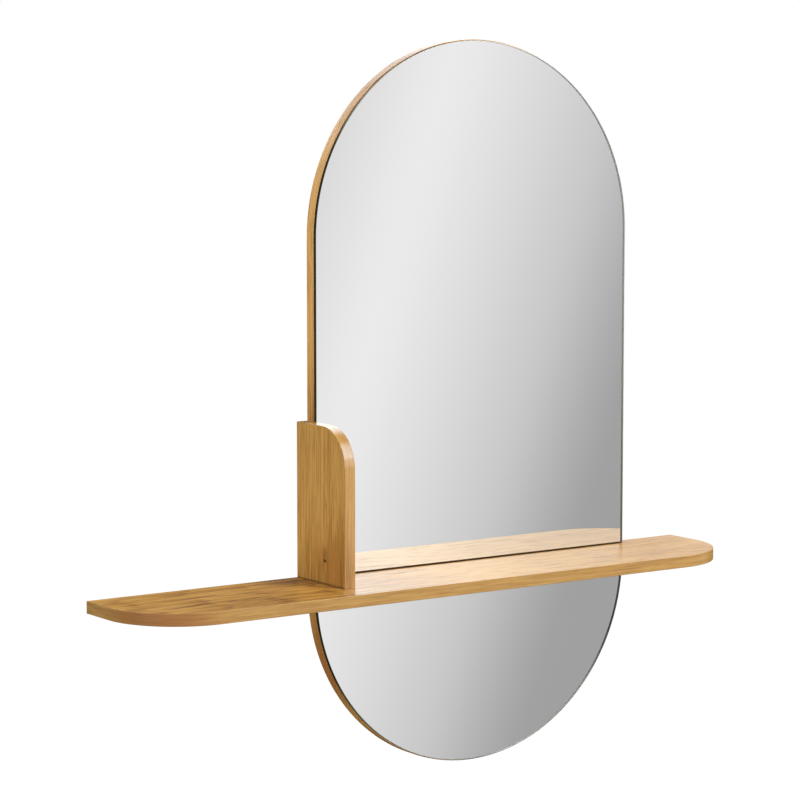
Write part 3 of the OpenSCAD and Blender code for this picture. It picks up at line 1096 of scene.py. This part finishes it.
class StudioSet(bpy.types.Operator):
    """Floor, lamps, surrounding light and camera"""

    bl_idname = "shelf_mirror.studio_set"
    bl_label = "Studio"

    def execute(self, context):
        context.scene.view_settings.view_transform = "Standard"
        self.camera(context)
        self.floor()
        self.lamp(context, "softbox", "key", Vector()).visible_glossy = False
        corner = BOX["backing_board"]
        aim = Vector((corner[0].x + RIM_AIM[0], 0, corner[1].z + RIM_AIM[1]))
        self.lamp(context, "rim_lamp", "rim", aim).visible_diffuse = False
        self.surroundings(context)
        return {"FINISHED"}

    def camera(self, context):
        data = bpy.data.cameras.new("photo_camera")
        data.sensor_width = 36
        data.lens = studio().camera_lens
        data.clip_start = 0.05
        data.clip_end = 200
        camera = bpy.data.objects.new("photo_camera", data)
        camera.location = studio().camera_place
        camera.rotation_euler = (math.pi / 2 - studio().camera_pitch, 0, -studio().camera_yaw)
        context.scene.collection.objects.link(camera)
        context.scene.camera = camera

    def floor(self):
        close_mesh()
        level = CAD_BOX[0].z - studio().floor_drop
        bpy.ops.mesh.primitive_plane_add(size=studio().floor_size, location=(0, 0, level))
        floor = bpy.context.object
        floor.name = "studio_floor"
        floor.visible_glossy = False
        floor.data.materials.append(self.floor_finish())

    def floor_finish(self):
        """White with soft shadows to the camera, grey to the light, and clear from beneath."""
        material = bpy.data.materials.new("floor_pale")
        material.use_nodes = True
        f = NodeSheet(material.node_tree)
        paint = f.node("BsdfDiffuse", {"Color": FLOOR_PAINT})
        shadow = f.node("BsdfDiffuse", {"Color": FLOOR_SHADOW})
        white = f.node("Emission", {"Color": (1, 1, 1, 1), "Strength": FLOOR_WHITE})
        seen = f.node("AddShader", {0: shadow, 1: white})
        by_camera = f.node("LightPath", output="Is Camera Ray")
        both = f.node("MixShader", {0: by_camera, 1: paint, 2: seen})
        from_below = f.node("NewGeometry", output="Backfacing")
        clear = f.node("BsdfTransparent")
        f.finish_with(f.node("MixShader", {0: from_below, 1: both, 2: clear}))
        return material

    def lamp(self, context, name, settings, aim):
        """A rectangular lamp that looks at the point aim. Its settings' names start with settings."""
        azimuth, height, distance, wide, tall, power = (
            getattr(studio(), f"{settings}_{part}")
            for part in ("azimuth", "height", "distance", "width", "tall", "power")
        )
        toward = Vector((
            math.sin(azimuth) * math.cos(height),
            -math.cos(azimuth) * math.cos(height),
            math.sin(height),
        ))
        data = bpy.data.lights.new(name, "AREA")
        data.shape = "RECTANGLE"
        data.size = wide
        data.size_y = tall
        data.energy = power
        lamp = bpy.data.objects.new(name, data)
        lamp.location = aim + toward * distance
        lamp.rotation_euler = toward.to_track_quat("Z", "Y").to_euler()
        lamp.visible_camera = False
        context.scene.collection.objects.link(lamp)
        return lamp

    def surroundings(self, context):
        """Even light from all round. The camera sees it white, and gloss sees the studio's shapes."""
        world = bpy.data.worlds.new("studio_light")
        world.use_nodes = True
        context.scene.world = world
        f = NodeSheet(world.node_tree)
        x, y, z = f.split(f.node("TexCoord", output="Generated"))
        camera, glossy, transmitted = (
            f.node("LightPath", output=f"Is {kind} Ray")
            for kind in ("Camera", "Glossy", "Transmission")
        )
        in_gloss = f.math("MAXIMUM", glossy, transmitted)
        ring = f.between(z.math("ABSOLUTE"), *RING_HEIGHT)
        ring = ring * (RING_LEVEL - x * RING_LEFTWARD - y * RING_FORWARD)
        even = (ring + EVEN_LEVEL) * studio().ambient
        shapes, tinted = self.shapes_in_gloss(f, x, y, z)
        light = even + in_gloss * (shapes - even)
        light = light + camera * (1 - light)
        colour = f.mix(tinted * in_gloss, (1, 1, 1), PANEL_TINT)
        sky = f.node("Background", {"Color": colour, "Strength": light})
        f.finish_with(sky, "ShaderNodeOutputWorld")

    def shapes_in_gloss(self, f, x, y, z):
        """Stripes for the mirror, a glow for the shelf, a panel for edges, and a patch behind."""
        azimuth = f.math("ARCTAN2", x, y * -1.0)
        height = f.math("ARCSINE", z)
        slant = azimuth - math.radians(VIEW_AZIMUTH)
        slant = slant - (height - math.radians(VIEW_HEIGHT)) * STRIPE_LEAN
        across = f.math("PINGPONG", slant * (180 / math.pi) + STRIPE_SHIFT, STRIPE_HALF)
        level = f.ramp(across / STRIPE_HALF, STRIPE_PROFILE, "B_SPLINE") * STRIPE_LEVEL
        glow = GLOW_LEVEL - f.window(azimuth, GLOW_FALL) * GLOW_DIMMER
        glow = glow * f.window(azimuth, *GLOW_AZIMUTH) * f.window(height, *GLOW_HEIGHT)
        elsewhere = f.window(azimuth, ELSEWHERE) * ELSEWHERE_LEVEL
        level = level + f.window(height, ABOVE) * (glow + elsewhere - level)
        panel = f.window(height, *PANEL_HEIGHT) * f.window(azimuth, *PANEL_AZIMUTH)
        level = level + panel * PANEL_LEVEL
        side = f.math("ARCTAN2", x, y)
        rear = f.window(side, *REAR_AZIMUTH) * f.window(height, *REAR_HEIGHT) * REAR_LEVEL
        behind = f.between(y, -0.02, 0.02)
        return level + behind * (rear - level), panel * (1 - behind)


# ---------------- panel and run

PIECE_OPERATORS = (BoardBand, ShelfBand, UprightBand, MirrorPanes, Veneers, Hardware)
SETTINGS = {
    "shelf_mirror_sizes": ShelfMirrorSizes,
    "shelf_mirror_colours": ShelfMirrorColours,
    "shelf_mirror_studio": ShelfMirrorStudio,
}


class ShelfMirrorPanel(bpy.types.Panel):
    """Lists the pieces and the studio in the 3D view's sidebar"""

    bl_idname = "VIEW3D_PT_shelf_mirror"
    bl_label = "Shelf Mirror"
    bl_space_type = "VIEW_3D"
    bl_region_type = "UI"
    bl_category = "Shelf Mirror"

    def draw(self, context):
        for name, group in SETTINGS.items():
            box = self.layout.box()
            for setting in group.__annotations__:
                box.prop(getattr(context.scene, name), setting)
        for operator in (*PIECE_OPERATORS, StudioSet):
            self.layout.operator(operator.bl_idname)


CLASSES = (*SETTINGS.values(), *PIECE_OPERATORS, StudioSet, ShelfMirrorPanel)


def register():
    for made in CLASSES:
        bpy.utils.register_class(made)
    for name, group in SETTINGS.items():
        setattr(bpy.types.Scene, name, PointerProperty(type=group))


def unregister():
    for name in SETTINGS:
        delattr(bpy.types.Scene, name)
    for made in reversed(CLASSES):
        bpy.utils.unregister_class(made)


def main():
    register()
    bpy.ops.shelf_mirror.studio_set()
    bpy.ops.shelf_mirror.board_band()
    bpy.ops.shelf_mirror.shelf_band()
    bpy.ops.shelf_mirror.upright_band()
    bpy.ops.shelf_mirror.mirror_panes()
    bpy.ops.shelf_mirror.veneers()
    bpy.ops.shelf_mirror.hardware()


if __name__ == "__main__":
    main()
